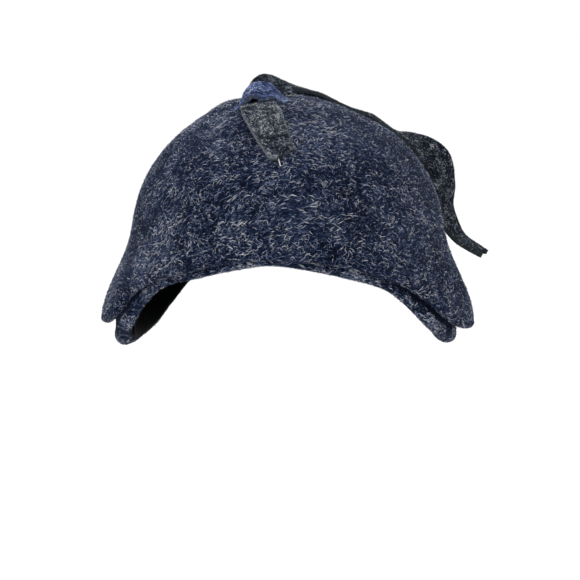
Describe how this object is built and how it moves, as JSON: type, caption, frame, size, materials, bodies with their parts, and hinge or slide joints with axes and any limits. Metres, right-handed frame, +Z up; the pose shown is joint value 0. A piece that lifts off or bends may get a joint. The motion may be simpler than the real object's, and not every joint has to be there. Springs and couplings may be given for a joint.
{
  "type": "felt cap",
  "caption": "Soft wool felt cap with an arched front rim, a rounded lobe over each ear, an inner band, a lining and a felt strap threaded under a bridge in the crown.",
  "frame": {"origin": "middle of the head opening, at the height of the front rim", "axes": "+X to the right of someone who faces the cap, +Y to the back of the head, +Z up"},
  "size_m": [0.2083, 0.2108, 0.1472],
  "materials": {
    "felt": "brushed heathered navy wool felt",
    "strap": "heathered grey wool felt",
    "lining": "matt black lining cloth"
  },
  "bodies": {
    "root": {"crown": "felt", "inner_band": "felt", "lining": "lining", "strap": "strap"}
  },
  "joints": []
}
